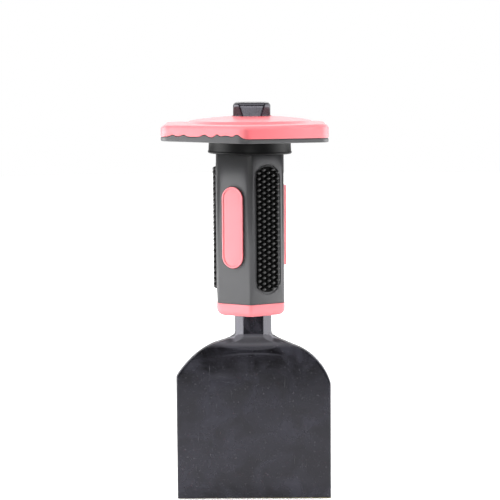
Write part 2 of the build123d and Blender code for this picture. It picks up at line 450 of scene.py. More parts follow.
def hexagon_reach(turn, flats, corner):
    """Distance from the centre to a rounded hexagon's side, with flats facing left and right."""
    away = abs((turn - pi / 2) % SIXTH - SIXTH / 2)
    from_corner = SIXTH / 2 - away
    centre = (flats / 2 - corner) / cos(SIXTH / 2)
    meets = atan2(corner / 2, centre + corner * cos(SIXTH / 2))
    if from_corner < meets:
        return centre * cos(from_corner) + sqrt(corner**2 - (centre * sin(from_corner)) ** 2)
    return flats / 2 / cos(away)


def octagon_reach(turn, flats, facet):
    """Distance from the centre to the side of the eight-sided bar."""
    across, along = abs(cos(turn)), abs(sin(turn))
    return min(flats / 2 / max(across, along), (flats + facet) / 2 / (across + along))


def hexagon_ring(flats, corner, height, centre=0.0):
    """A place function: a level rounded hexagon."""
    def place(turn):
        reach = hexagon_reach(turn, flats, corner)
        return Vector((centre + reach * cos(turn), reach * sin(turn), height))
    return place


def circle_ring(radius, height, centre=0.0):
    """A place function: a level circle."""
    return lambda turn: Vector((centre + radius * cos(turn), radius * sin(turn), height))


def octagon_ring(flats, facet, height):
    """A place function: a level ring round the eight-sided bar."""
    def place(turn):
        reach = octagon_reach(turn, flats, facet)
        return Vector((reach * cos(turn), reach * sin(turn), height))
    return place


def stadium_face(bm, width, height):
    """An upright stadium-shaped face on the XY plane: a disc whose halves are drawn apart."""
    made = bmesh.ops.create_circle(
        bm, cap_ends=True, segments=40, radius=width / 2, matrix=Matrix.Rotation(radians(4.5), 4, "Z")
    )["verts"]
    apart = (height - width) / 2
    for vert in made:
        vert.co.y += apart if vert.co.y > 0 else -apart
    return made[0].link_faces[0]


def step_in(bm, face, inset, rise):
    """Carry a face inwards and along its normal, and leave a band of faces behind it."""
    bmesh.ops.inset_individual(bm, faces=[face], thickness=inset, depth=rise, use_even_offset=True)


def on_grip_face(angle, reach, height):
    """The matrix that stands a piece made on the XY plane on the grip's side that faces `angle`."""
    across = Vector((cos(angle), sin(angle), 0))
    outward = Vector((sin(angle), -cos(angle), 0))
    upward = Vector((0, 0, 1))
    turned = Matrix((across, upward, outward)).transposed().to_4x4()
    place = outward * reach + upward * height + Vector((grip_centre(), 0, 0))
    return Matrix.Translation(place) @ turned


# ---------------------------------------------------------------- measures taken from the frame


def grip_measures():
    """Flats, bottom and top of the sleeve."""
    low, high = BOX["grip_sleeve"]
    return high.x - low.x, low.z, high.z


def grip_centre():
    """How far the rubber sits from the shank's axis, across the tool."""
    low, high = BOX["grip_sleeve"]
    return (low.x + high.x) / 2


def face_measures(node, on_left):
    """Middle height, width, height and how proud a pad or inlay stands, from the one that faces along X."""
    low, high = BOX[node]
    flats = grip_measures()[0]
    centre = grip_centre()
    proud = (centre - low.x if on_left else high.x - centre) - flats / 2
    return (low.z + high.z) / 2, high.y - low.y, high.z - low.z, proud


def bar_measures():
    """Across flats of the bar, and the width of its front flat."""
    low, high = BOX["chisel_forging"]
    flats = high.y - low.y
    return flats, flats * FLAT_SHARE


def core_radius():
    """Radius of the hard core inside the grip."""
    low, high = BOX["grip_core"]
    return (high.x - low.x) / 2


# Insets and rises, in millimetres, from an inlay's rounded edge in to its middle.
INLAY_FACE_STEPS = (
    (0.25, 0.0), (0.1, -0.04), (0.35, -0.5), (0.12, 0.0), (0.2, 0.08), (1.6, 0.03), (2.0, 0.03),
)
# Which way each pad and inlay faces, as a turn to the right from the front.
PAD_ANGLES = {"left": radians(-90), "front": radians(30), "back": radians(150)}
INLAY_ANGLES = {"front": radians(-30), "right": radians(90), "back": radians(-150)}


# ---------------------------------------------------------------- forging

BLADE_BEVEL = 8.0 * MM
BLADE_TAPER = 83.0 * MM
EDGE_SLANT = 0.0065              # how much lower the cutting edge is on the right, for each metre across
LAND = 1.2 * MM
BEVEL_THICK = 4.2 * MM
SHOULDER_THICK = 7.0 * MM
# Height where a shoulder starts, where it ends from the axis and in height, and its radius.
RIGHT_SHOULDER = (68.6 * MM, 23.0 * MM, 91.6 * MM, 34.0 * MM)
LEFT_SHOULDER = (73.5 * MM, 23.0 * MM, 92.9 * MM, 50.0 * MM)
NECK_FOOT = (13.0 * MM, 96.0 * MM)
NECK_TOP = 99.3 * MM
ROOT_LOW = 89.8 * MM
ROOT_HALF = 21.0 * MM
ROOT_SMILE = 150.0 * MM          # the root's lower line rises outwards by the square of the width over this
ROOT_SUNK = 2.6 * MM             # the root's half depth where it meets the blade
ROOT_BLEND = 4.0 * MM            # how far below the root its blend into the blade reaches
DIE_LINE = (87.2 * MM, 240.0 * MM, 0.7 * MM)
DIE_LINE_RISE = 0.05 * MM        # how far the die line stands out of the blade
DIE_LINE_REACH = 15.0 * MM       # how far out from the axis it fades
# Place across, height, half-width and half-height of the shallow dent in the blade's front.
DENT = (-19.0 * MM, 71.5 * MM, 5.0 * MM, 2.2 * MM)
DENT_DEPTH = 0.1 * MM
WAVINESS = 0.05 * MM             # unevenness of the forged faces
THINNEST = 0.05 * MM             # least half depth of the forging
FLAT_SHARE = 0.519               # width of the bar's front flat, as a share of its across flats
BAR_EDGE = 0.7 * MM
EDGE_STEPS = 4                   # columns that a rounded edge of the forging takes
HEAD_LOW = 224.6 * MM
HEAD_FACET = 15.7 * MM
HEAD_ROUND = 2.1 * MM


def soft_max(a, b, blend):
    """The larger of two values, with a rounded change from one to the other."""
    lean = max(0.0, blend - abs(a - b)) / blend
    return max(a, b) + lean * lean * blend / 4


def soft_min(a, b, blend):
    """The smaller of two values, with a rounded change from one to the other."""
    return -soft_max(-a, -b, blend)


def shoulder_reach(height, half, shoulder):
    """Half-width of the forging at a height: straight side, shoulder arc, slope and bar."""
    start, inner, inner_height, radius = shoulder
    flats = bar_measures()[0]
    if height <= start:
        return half
    if height < inner_height:
        chord = Vector((inner - half, inner_height - start))
        middle = Vector(((inner + half) / 2, (inner_height + start) / 2))
        normal = Vector((-chord.y, chord.x)).normalized()
        sink = sqrt(radius**2 - (chord.length / 2) ** 2)
        centre = middle + normal * sink
        return centre.x + sqrt(radius**2 - (height - centre.y) ** 2)
    foot, foot_height = NECK_FOOT
    if height < foot_height:
        return inner + (foot - inner) * (height - inner_height) / (foot_height - inner_height)
    if height < NECK_TOP:
        share = (height - foot_height) / (NECK_TOP - foot_height)
        return foot + (flats / 2 - foot) * (1 - (1 - share) ** 1.6)
    return flats / 2


def side_reach(height, half, shoulder):
    """The half-width with its corners eased, as a forging die leaves them."""
    ease = 0.5 * MM if height < 80 * MM else 0.9 * MM
    samples = [shoulder_reach(height + ease * step / 2, half, shoulder) for step in (-2, -1, 0, 1, 2)]
    return sum(samples) / len(samples)


def blade_half_thickness(height):
    """Half the blade's thickness: the ground bevel, then a long taper up to the shoulders."""
    bevel = LAND / 2 + (BEVEL_THICK - LAND) / 2 * height / BLADE_BEVEL
    taper = BEVEL_THICK / 2 + (SHOULDER_THICK - BEVEL_THICK) / 2 * (height - BLADE_BEVEL) / BLADE_TAPER
    return soft_min(bevel, taper, 0.25 * MM)


def bar_depth(across, flats, facet):
    """Depth of the eight-sided bar's front at a place across it."""
    return soft_min(flats / 2, (flats + facet) / 2 - abs(across), 0.6 * MM)


def root_depth(across, height, flats, facet):
    """Depth of the flared foot where the bar runs out into the blade."""
    low = ROOT_LOW + across * across / ROOT_SMILE
    share = min(1.0, max(0.0, (height - low) / (NECK_TOP - low)))
    rise = share * share * (3 - 2 * share)
    deepest = ROOT_SUNK + (flats / 2 - ROOT_SUNK) * rise - 0.5 * max(0.0, low - height)
    half_flat = facet / 2 + (ROOT_HALF - facet / 2) * (1 - share) ** 2.4
    slope = 1.0 - 0.65 * (1 - share)
    return deepest - max(0.0, abs(across) - half_flat) * slope


def forging_depth(across, height, flats, facet):
    """Depth of the forging's front face at a place, without its rounded outline."""
    if height < NECK_TOP:
        blade = blade_half_thickness(height)
        ridge = (height - DIE_LINE[0] + across * across / DIE_LINE[1]) / DIE_LINE[2]
        blade += DIE_LINE_RISE * exp(-ridge * ridge - (across / DIE_LINE_REACH) ** 4)
        if height < ROOT_LOW - ROOT_BLEND:
            return blade
        return soft_max(blade, root_depth(across, height, flats, facet), 1.6 * MM)
    if height > HEAD_LOW:
        top = BOX["chisel_forging"][1].z
        facet += (HEAD_FACET - facet) * (height - HEAD_LOW) / (top - HEAD_LOW)
    return bar_depth(across, flats, facet)


def forging_levels(top):
    """Heights of the forging's rings: close where the shape turns, far apart where it is straight."""
    spans = [
        (0.0, 1.0, 0.35), (1.0, 12.0, 1.1), (12.0, 64.0, 4.0), (64.0, 82.0, 1.0), (82.0, 101.2, 0.35),
        (101.2, 112.0, 2.7), (112.0, 220.0, 27.0), (220.0, 224.6, 2.3), (224.6, 229.9, 0.9),
    ]
    levels = []
    for low, high, stride in spans:
        count = max(1, round((high - low) / stride))
        levels += [(low + (high - low) * step / count) * MM for step in range(count)]
    levels.append(top - HEAD_ROUND)
    return levels


def forging_ring(height, inset, count, columns):
    """A place function for the forging: the ring at one height, drawn in by `inset` at the head's rounding.

    Its vertices run over the front in `columns`, along the right side, over the back and along the left.
    """
    half = BOX["chisel_forging"][1].x
    flats, facet = bar_measures()
    edge = size_settings().edge_round if height < NECK_TOP else BAR_EDGE
    per_side = (count - 2 * columns) // 2
    middle = (columns - 1) / 2
    dent_across, dent_height, dent_wide, dent_high = DENT

    def reach(side, at):
        return side_reach(at, half, RIGHT_SHOULDER if side > 0 else LEFT_SHOULDER)

    def face_spot(local, front):
        """A place on the front or back: its rounded outline, then evenly spaced columns."""
        share = (-1 + 2 * local / (columns - 1)) * (1 if front else -1)
        side = 1 if share >= 0 else -1
        wide = reach(side, height)
        lean = (reach(side, height + 0.2 * MM) - reach(side, height - 0.2 * MM)) / (0.4 * MM)
        slant = hypot(1.0, lean)
        from_end = min(local, columns - 1 - local)
        if from_end < EDGE_STEPS:
            turn = from_end / EDGE_STEPS * pi / 2
            across = side * (wide - edge * (1 - cos(turn)) * slant)
            drop = edge * (1 - sin(turn))
        else:
            across = side * (wide - edge * slant) * (abs(local - middle) / (middle - EDGE_STEPS))
            drop = 0.0
        depth = max(forging_depth(across, height, flats, facet) - drop, THINNEST)
        if height < ROOT_LOW and drop == 0:
            seed = 3.0 if front else 9.0
            depth += WAVINESS * noise.noise(Vector((across / (17 * MM), height / (21 * MM), seed)))
        if front:
            aside, above = (across - dent_across) / dent_wide, (height - dent_height) / dent_high
            depth -= DENT_DEPTH * exp(-(aside**2) - above**2)
        return Vector((across, -depth if front else depth, height))

    def side_spot(local, side):
        """A place on the narrow side between the two faces."""
        share = (local - columns + 1) / (per_side + 1)
        wide = reach(side, height)
        depth = max(forging_depth(side * wide, height, flats, facet) - edge, THINNEST)
        return Vector((side * wide, (-depth + 2 * depth * share) * side, height))

    def place(number):
        number = int(round(number))
        front = number < columns + per_side
        local = number if front else number - columns - per_side
        spot = face_spot(local, front) if local < columns else side_spot(local, 1 if front else -1)
        if not height:
            spot.z += EDGE_SLANT * (half - spot.x)
        if inset:
            spot.x *= 1 - inset / (flats / 2)
            spot.y *= 1 - inset / (flats / 2)
        return spot

    return place


class BOLSTER_OT_forging(bpy.types.Operator):
    """Build the blade, neck, shank and striking head as one forging"""

    bl_idname = "bolster.forging"
    bl_label = "Forging"

    def execute(self, context):
        top = BOX["chisel_forging"][1].z
        columns, per_side = 65, 3
        count = 2 * (columns + per_side)
        rings = [forging_ring(height, 0.0, count, columns) for height in forging_levels(top)]
        for inset, rise in quarter_round(HEAD_ROUND, 5):
            rings.append(forging_ring(top - HEAD_ROUND + rise, inset, count, columns))
        bm = bmesh.new()
        first, last = sweep(bm, count, rings, tag_ring=True)
        bmesh.ops.edgeloop_fill(bm, edges=first)
        bmesh.ops.edgeloop_fill(bm, edges=last)
        lacquer = lacquered_steel(colour_settings())
        keep_piece(bm, "forged_chisel", lacquer, ["chisel_forging"])
        return {"FINISHED"}


# ---------------------------------------------------------------- grip

SLEEVE_CORNER = 1.9 * MM
SLEEVE_CHAMFER = 0.25 * MM
SMALLEST_WALL = 1000 * MM * MM   # the sleeve's flat sides are larger than this, its rounded corners smaller
PAD_MOUTH = 0.95 * MM            # how far the bead round a pocket is taken beyond the pad
BEAD_LAP = 0.3 * MM              # how much narrower and lower than that the bead's outline is cut
# Insets and rises of the bead and the pocket inside it.
BEAD_STEPS = [(0.25, 0.28), (0.25, 0.1), (0.25, -0.1), (0.2, -0.3), (0.02, -1.9)]
INLAY_STEPS = [(0.1, -0.02), (0.12, -0.15), (0.02, -1.7)]


def pocket_panel(bm, wall, width, height, middle, angle, reach, steps):
    """Cut a stadium pocket into one flat side of the sleeve: fill round its mouth, then step down into it."""
    border = list(wall.edges)
    bmesh.ops.delete(bm, geom=[wall], context="FACES_ONLY")
    mouth = stadium_face(bm, width, height)
    bmesh.ops.transform(bm, matrix=on_grip_face(angle, reach, middle), verts=mouth.verts)
    mouth.normal_update()
    rim = list(mouth.edges)
    for inset, rise in steps:
        step_in(bm, mouth, inset * MM, rise * MM)
    filled = bmesh.ops.triangle_fill(bm, use_beauty=True, edges=border + rim)["geom"]
    flat = bm.faces.layers.int["flat"]
    for item in filled:
        if isinstance(item, bmesh.types.BMFace):
            item[flat] = 1


class BOLSTER_OT_sleeve(bpy.types.Operator):
    """Build the grey hexagonal sleeve with its pockets for the pads and inlays"""

    bl_idname = "bolster.sleeve"
    bl_label = "Grip sleeve"

    def execute(self, context):
        flats, bottom, top = grip_measures()
        pad_middle, pad_width, pad_height, _ = face_measures("knurled_pad_left", True)
        inlay_middle, inlay_width, inlay_height, _ = face_measures("oval_inlay_right", False)
        bore = core_radius()
        gap = size_settings().groove
        bm = bmesh.new()
        bm.faces.layers.int.new("flat")
        corner_reach = flats / 2 / cos(SIXTH / 2)
        made = bmesh.ops.create_circle(bm, cap_ends=True, segments=6, radius=corner_reach)["verts"]
        middle = grip_centre()
        bmesh.ops.translate(bm, verts=made, vec=(middle, 0, bottom + SLEEVE_CHAMFER))
        bmesh.ops.bevel(
            bm, geom=made, offset=SLEEVE_CORNER * tan(SIXTH / 2), offset_type="OFFSET", segments=5,
            profile=0.5, affect="VERTICES", material=-1,
        )
        bm.faces.ensure_lookup_table()
        cap = bm.faces[0]
        if cap.normal.z < 0:
            cap.normal_flip()
        border = list(cap.edges)
        step_in(bm, cap, 0.0, top - bottom - SLEEVE_CHAMFER)
        walls = [face for face in bm.faces if face is not cap and face.calc_area() > SMALLEST_WALL]
        upper = list(cap.edges)
        bmesh.ops.delete(bm, geom=[cap], context="FACES_ONLY")
        lower = bmesh.ops.extrude_edge_only(bm, edges=border)["geom"]
        low_verts = [item for item in lower if isinstance(item, bmesh.types.BMVert)]
        low_edges = [item for item in lower if isinstance(item, bmesh.types.BMEdge)]
        shrink = 1 - SLEEVE_CHAMFER / (flats / 2)
        for vert in low_verts:
            vert.co = Vector((middle + (vert.co.x - middle) * shrink, vert.co.y * shrink, bottom))
        for wall in walls:
            centre = wall.calc_center_median()
            angle = atan2(centre.x - middle, -centre.y)
            pads = [a for a in PAD_ANGLES.values() if abs(sin((a - angle) / 2)) < 0.05]
            if pads:
                pocket_panel(
                    bm, wall, pad_width + 2 * PAD_MOUTH - BEAD_LAP, pad_height + 2 * PAD_MOUTH - BEAD_LAP,
                    pad_middle, pads[0], flats / 2, BEAD_STEPS,
                )
            else:
                turn = min(INLAY_ANGLES.values(), key=lambda a: abs(sin((a - angle) / 2)))
                pocket_panel(
                    bm, wall, inlay_width + 2 * gap + 0.44 * MM, inlay_height + 2 * gap + 0.44 * MM,
                    inlay_middle, turn, flats / 2, INLAY_STEPS,
                )
        loops = []
        for height, edges in ((top, upper), (bottom, low_edges)):
            ring = bmesh.ops.create_circle(bm, segments=48, radius=bore)["verts"]
            bmesh.ops.translate(bm, verts=ring, vec=(0, 0, height))
            ring_edges = list({edge for vert in ring for edge in vert.link_edges})
            bmesh.ops.triangle_fill(bm, use_beauty=True, edges=edges + ring_edges)
            loops += ring_edges
        bmesh.ops.bridge_loops(bm, edges=loops)
        rubber = moulded_rubber("grey thermoplastic rubber", colour_settings().grip, 0.5 * MM, 0.54)
        keep_piece(bm, "hex_grip_sleeve", rubber, ["grip_sleeve"])
        return {"FINISHED"}


def knurl_studs(bm, sizes, half_width, half_height, base):
    """A field of lozenge studs in staggered columns, cut straight at both sides."""
    column, pitch = sizes.knurl_column, sizes.knurl_pitch
    rows = int(half_height * 2 / pitch) + 2
    lozenge = Matrix.Diagonal((column * 0.64, pitch / 2 * 0.88, 1, 1))
    studs = []
    for across in range(-2, 3):
        for up in range(-rows, rows + 1):
            y = (up + (0.5 if across % 2 else 0.0)) * pitch
            x = across * column
            over = max(0.0, abs(y) - (half_height - half_width))
            if abs(y) > half_height - pitch * 0.4 or hypot(x, over) > half_width + 0.2 * MM and over > 0:
                continue
            stands = Matrix.Translation((x, y, base + sizes.knurl_height / 2))
            studs += bmesh.ops.create_cone(
                bm, cap_ends=True, cap_tris=False, segments=4, radius1=1.0, radius2=0.5,
                depth=sizes.knurl_height, matrix=stands @ lozenge,
            )["verts"]
    edges = {edge for vert in studs for edge in vert.link_edges}
    tops = [edge for edge in edges if max(v.co.z for v in edge.verts) > base + MM]
    bmesh.ops.bevel(
        bm, geom=tops, offset=0.28 * MM, offset_type="OFFSET", segments=1, profile=0.5,
        affect="EDGES", material=-1,
    )
    for side in (-1, 1):
        near = [face for face in bm.faces if max(side * v.co.x for v in face.verts) > half_width - MM]
        geom = list({v for f in near for v in f.verts}) + list({e for f in near for e in f.edges}) + near
        bmesh.ops.bisect_plane(
            bm, geom=geom, plane_co=(side * half_width, 0, 0), plane_no=(side, 0, 0), clear_outer=True
        )
    bmesh.ops.holes_fill(bm, edges=[edge for edge in bm.edges if edge.is_boundary])


class BOLSTER_OT_pads(bpy.types.Operator):
    """Build the three knurled pads"""

    bl_idname = "bolster.pads"
    bl_label = "Knurled pads"

    def execute(self, context):
        sizes = size_settings()
        middle, width, height, proud = face_measures("knurled_pad_left", True)
        flats = grip_measures()[0]
        plateau = proud - sizes.knurl_height
        # The pads' colour runs from painted shade between the studs to painted highlight on their tops.
        rubber = knurled_rubber(
            colour_settings().pad, flats / 2 + plateau + 0.5 * MM, flats / 2 + proud - 0.1 * MM
        )
        for name, angle in PAD_ANGLES.items():
            bm = bmesh.new()
            knurl_studs(bm, sizes, width / 2 - 1.5 * MM, height / 2 - 1.4 * MM, plateau - 0.04 * MM)
            plate = stadium_face(bm, width - 0.5 * MM, height - 0.5 * MM)
            bmesh.ops.translate(bm, verts=plate.verts, vec=(0, 0, -2.0 * MM))
            floor_edges = list(plate.edges)
            for inset, rise in ((0.0, 0.5), (0.1, 0.1), (0.75, 0.0), (0.15, 0.75), (0.15, 0.85)):
                step_in(bm, plate, inset * MM, rise * MM)
            step_in(bm, plate, 0.2 * MM, plateau + 2.0 * MM - 2.2 * MM)
            bmesh.ops.edgeloop_fill(bm, edges=floor_edges)
            bmesh.ops.transform(bm, matrix=on_grip_face(angle, flats / 2, middle), verts=bm.verts)
            keep_piece(bm, f"knurled_grip_pad_{name}", rubber, [f"knurled_pad_{name}"])
        return {"FINISHED"}


class BOLSTER_OT_inlays(bpy.types.Operator):
    """Build the three oval inlays"""

    bl_idname = "bolster.inlays"
    bl_label = "Oval inlays"

    def execute(self, context):
        middle, width, height, proud = face_measures("oval_inlay_right", False)
        flats = grip_measures()[0]
        plastic = pink_plastic()
        sunk = 1.6 * MM
        edge = 0.5 * MM
        for name, angle in INLAY_ANGLES.items():
            bm = bmesh.new()
            face = stadium_face(bm, width, height)
            bmesh.ops.translate(bm, verts=face.verts, vec=(0, 0, -sunk))
            floor_edges = list(face.edges)
            step_in(bm, face, 0.0, sunk + proud - edge)
            before = (0.0, 0.0)
            for inset, rise in quarter_round(edge, 4):
                step_in(bm, face, inset - before[0], rise - before[1])
                before = (inset, rise)
            for inset, rise in INLAY_FACE_STEPS:
                step_in(bm, face, inset * MM, rise * MM)
            bmesh.ops.edgeloop_fill(bm, edges=floor_edges)
            bmesh.ops.transform(bm, matrix=on_grip_face(angle, flats / 2, middle), verts=bm.verts)
            keep_piece(bm, f"oval_grip_inlay_{name}", plastic, [f"oval_inlay_{name}"])
        return {"FINISHED"}


def pink_plastic():
    """The one pink material, made the first time it is asked for."""
    found = bpy.data.materials.get("pink moulded polypropylene")
    return found or moulded_plastic("pink moulded polypropylene", colour_settings().pink)


class BOLSTER_OT_end_ring(bpy.types.Operator):
    """Build the pink ring that closes the bottom of the grip"""

    bl_idname = "bolster.end_ring"
    bl_label = "End ring"

    def execute(self, context):
        low, high = BOX["end_ring"]
        flats = high.x - low.x
        bar, facet = bar_measures()
        bore = core_radius()
        corner, rounding = 2.4 * MM, 4.4 * MM
        middle = grip_centre()
        top, floor_z = high.z - 0.12 * MM, BOX["grip_core"][0].z
        clear = 0.1 * MM
        rings = [
            circle_ring(bore, floor_z - 0.02 * MM),
            circle_ring(bore, top),
            hexagon_ring(flats - 1.0 * MM, corner, top, middle),
            hexagon_ring(flats - 0.3 * MM, corner, top - 0.08 * MM, middle),
            hexagon_ring(flats, corner, top - 0.35 * MM, middle),
            hexagon_ring(flats, corner, low.z + rounding + 0.5 * MM, middle),
        ]
        for inset, rise in quarter_round(rounding, 8):
            lower = low.z + rounding - rise
            rings.append(hexagon_ring(flats - 1.9 * inset, corner + 0.4 * inset, lower, middle))
        rings += [
            octagon_ring(bar + 1.2 * MM, facet, low.z),
            octagon_ring(bar + 2 * clear, facet, low.z + 0.5 * MM),
            octagon_ring(bar + 2 * clear, facet, floor_z - 0.02 * MM),
            circle_ring(bore, floor_z - 0.02 * MM),
        ]
        bm = bmesh.new()
        sweep(bm, size_settings().facets // 2, rings)
        keep_piece(bm, "grip_end_ring", pink_plastic(), ["end_ring"])
        return {"FINISHED"}


# ---------------------------------------------------------------- guard

GUARD_CORNER = 7.0 * MM
GROOVE_LINE = 0.35 * MM
DOME_CENTRE = -1.0 * MM
DOME_RISE = 4.15 * MM
# The seam on the front left side wanders where the pink shell was moulded over the grey rim.
# Each crest is a share of the way from the left corner to the front one, a height and a half-width.
SEAM_SIDE = 57.0                 # about the length of that side, in the unit of the half-widths
SEAM_CRESTS = [
    (0.13, 1.1, 1.5), (0.26, 1.15, 2.1), (0.53, 1.5, 2.6), (0.69, 1.7, 1.9), (0.80, 1.25, 4.0),
    (0.925, 1.9, 2.2),
]


def guard_measures():
    """Centre across, flats, height of the seam and top of the dome."""
    low, high = BOX["guard_shell"]
    return (low.x + high.x) / 2, high.x - low.x, low.z, high.z


def seam_rise(turn):
    """How far the seam wanders above its level line, by the place along the front left side."""
    share = (turn - radians(-150)) / SIXTH
    if not 0.02 < share < 1.02:
        return 0.0
    rise = 0.6 * MM * min(1.0, share / 0.1)
    for place, height, wide in SEAM_CRESTS:
        away = (share - place) * SEAM_SIDE / wide
        rise += height * MM * exp(-away * away)
    fade = min(1.0, (1.02 - share) / 0.06)
    return rise * fade


def seam_ring(flats, corner, height, centre):
    """A place function: a rounded hexagon whose height follows the seam."""
    level = hexagon_ring(flats, corner, height, centre)

    def place(turn):
        spot = level(turn)
        spot.z += seam_rise(turn)
        return spot

    return place


def lean_seam(bm, centre, low, high):
    """Lean the guard's rim and seam by their small tilt, and fade it out up the shell's side."""
    lean = tan(size_settings().guard_tilt)
    for vert in bm.verts:
        share = min(1.0, max(0.0, (high - vert.co.z) / (high - low)))
        vert.co.z -= lean * (vert.co.x - centre) * share


class BOLSTER_OT_guard_shell(bpy.types.Operator):
    """Build the pink shell of the guard, with its dome"""

    bl_idname = "bolster.guard_shell"
    bl_label = "Guard shell"

    def execute(self, context):
        centre, flats, seam, dome_top = guard_measures()
        bar, facet = bar_measures()
        shell_top = dome_top - DOME_RISE
        wall, rounding = 3.2 * MM, 2.6 * MM
        inside = shell_top - wall
        rings = [
            octagon_ring(bar + 0.3 * MM, facet, inside),
            hexagon_ring(flats - 2 * wall, GUARD_CORNER - wall, inside, centre),
            hexagon_ring(flats - 2 * wall, GUARD_CORNER - wall, seam + 3.0 * MM, centre),
            seam_ring(flats - 2 * wall, GUARD_CORNER - wall, seam + 0.1 * MM, centre),
            seam_ring(flats - 1.0 * MM, GUARD_CORNER, seam, centre),
            seam_ring(flats - 0.25 * MM, GUARD_CORNER, seam + 0.08 * MM, centre),
            seam_ring(flats, GUARD_CORNER, seam + 0.45 * MM, centre),
            hexagon_ring(flats, GUARD_CORNER, shell_top - rounding, centre),
        ]
        for inset, rise in quarter_round(rounding, 7):
            height = shell_top - rounding + rise
            rings.append(hexagon_ring(flats - 2 * inset, GUARD_CORNER - 0.5 * inset, height, centre))
        foot, brow = 37.0 * MM, 34.3 * MM
        brow_height = shell_top + 1.6 * MM
        for share in (0.0, 0.15, 0.5, 0.85, 1.0):
            eased = share * share * (3 - 2 * share)
            height = shell_top + 0.05 * MM + (brow_height - shell_top) * eased
            rings.append(circle_ring(foot + (brow - foot) * share, height, DOME_CENTRE))
        for share in (0.15, 0.4, 0.65):
            radius = brow * (1 - share)
            crown = 1 - (radius / brow) ** 2
            height = brow_height + 0.05 * MM + (dome_top - brow_height) * crown
            rings.append(circle_ring(radius, height, DOME_CENTRE * (1 - share)))
        rings += [
            octagon_ring(bar + 1.4 * MM, facet + 0.6 * MM, dome_top - 0.1 * MM),
            octagon_ring(bar + 0.7 * MM, facet, dome_top - 0.35 * MM),
            octagon_ring(bar + 0.3 * MM, facet, dome_top - 1.0 * MM),
            octagon_ring(bar + 0.3 * MM, facet, inside),
        ]
        bm = bmesh.new()
        sweep(bm, size_settings().facets, rings)
        lean_seam(bm, centre, seam + 0.5 * MM, shell_top - rounding)
        # The shell's pink carries painted shade beside the front corner.
        shell = moulded_plastic("pink moulded guard polypropylene", colour_settings().pink, painted_front_shade=True)
        keep_piece(bm, "guard_top_shell", shell, ["guard_shell"])
        return {"FINISHED"}


class BOLSTER_OT_guard_base(bpy.types.Operator):
    """Build the grey rim of the guard and its round socket"""

    bl_idname = "bolster.guard_base"
    bl_label = "Guard base"

    def execute(self, context):
        centre, flats, seam, _ = guard_measures()
        low, high = BOX["guard_base"]
        grip_flats, _, grip_top = grip_measures()
        bore = core_radius()
        rim_bottom = seam - 2.5 * MM
        middle = grip_centre()
        socket = 23.65 * MM
        lip = 24.2 * MM
        wall = 3.3 * MM
        pocket = grip_flats + 0.12 * MM
        rings = [
            circle_ring(bore, high.z - 0.1 * MM),
            hexagon_ring(flats - 2 * wall, GUARD_CORNER - wall, high.z - 0.1 * MM, centre),
            hexagon_ring(flats - 2 * wall, GUARD_CORNER - wall, seam + 3.0 * MM, centre),
            seam_ring(flats - 2 * wall, GUARD_CORNER - wall, seam - 0.02 * MM, centre),
            seam_ring(flats - 1.5 * MM, GUARD_CORNER, seam - 0.02 * MM, centre),
            seam_ring(flats - 1.5 * MM, GUARD_CORNER, seam - GROOVE_LINE, centre),
            seam_ring(flats - 0.4 * MM, GUARD_CORNER, seam - GROOVE_LINE - 0.03 * MM, centre),
            seam_ring(flats - 0.1 * MM, GUARD_CORNER, seam - GROOVE_LINE - 0.25 * MM, centre),
            hexagon_ring(flats - 0.1 * MM, GUARD_CORNER, rim_bottom + 0.6 * MM, centre),
            hexagon_ring(flats - 0.5 * MM, GUARD_CORNER, rim_bottom + 0.15 * MM, centre),
            hexagon_ring(flats - 1.4 * MM, GUARD_CORNER, rim_bottom, centre),
            circle_ring(socket + 1.5 * MM, rim_bottom, middle),
            circle_ring(socket + 0.45 * MM, rim_bottom - 0.4 * MM, middle),
            circle_ring(socket, rim_bottom - 1.5 * MM, middle),
            circle_ring(socket + 0.15 * MM, low.z + 1.7 * MM, middle),
            circle_ring(lip - 0.12 * MM, low.z + 1.25 * MM, middle),
            circle_ring(lip, low.z + 0.8 * MM, middle),
            circle_ring(lip - 0.2 * MM, low.z + 0.25 * MM, middle),
            circle_ring(lip - 0.6 * MM, low.z, middle),
            hexagon_ring(pocket, SLEEVE_CORNER, low.z, middle),
            hexagon_ring(pocket, SLEEVE_CORNER, grip_top + 0.02 * MM, middle),
            circle_ring(bore, grip_top + 0.02 * MM),
            circle_ring(bore, high.z - 0.1 * MM),
        ]
        bm = bmesh.new()
        sweep(bm, size_settings().facets, rings)
        lean_seam(bm, centre, seam + 0.5 * MM, high.z)
        # Below the rim's bottom the rubber's colour carries painted shade under the guard.
        rubber = moulded_rubber(
            "grey rim rubber", colour_settings().grip, 0.5 * MM, 0.42, rim_bottom - 0.1 * MM
        )
        keep_piece(bm, "guard_rim_and_socket", rubber, ["guard_base"])
        return {"FINISHED"}


class BOLSTER_OT_core(bpy.types.Operator):
    """Give the hidden core its plain moulded finish"""

    bl_idname = "bolster.core"
    bl_label = "Core finish"

    def execute(self, context):
        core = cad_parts["grip_core"]
        core.data.materials.clear()
        core.data.materials.append(moulded_rubber("dark moulded core", linear("30302f"), 0.8 * MM, 0.5))
        return {"FINISHED"}


# ---------------------------------------------------------------- stage


FLOOR_RADIUS = 1.75
FLOOR_FRONT = 0.36               # how far the floor reaches in front of the tool
# Name, width and height, place, and the point that each softbox is turned to.
SOFTBOXES = (
    ("left", (0.36, 0.5), (-0.45, -0.03, 0.23), (0.0, -0.03, 0.23)),
    ("right", (0.34, 0.46), (0.39, 0.03, 0.23), (0.0, 0.03, 0.23)),
    ("top", (0.9, 0.9), (0.0, -0.42, 1.02), (0.0, 0.0, 0.15)),
    ("front", (0.5, 0.28), (0.0, -1.25, 0.31), (0.0, 0.0, 0.22)),
    ("back", (2.4, 0.9), (0.0, 1.6, 0.75), (0.0, 0.0, 0.22)),
    ("floor", (4.6, 2.8), (0.0, 2.1, 1.1), (0.0, 2.1, 0.0)),
)


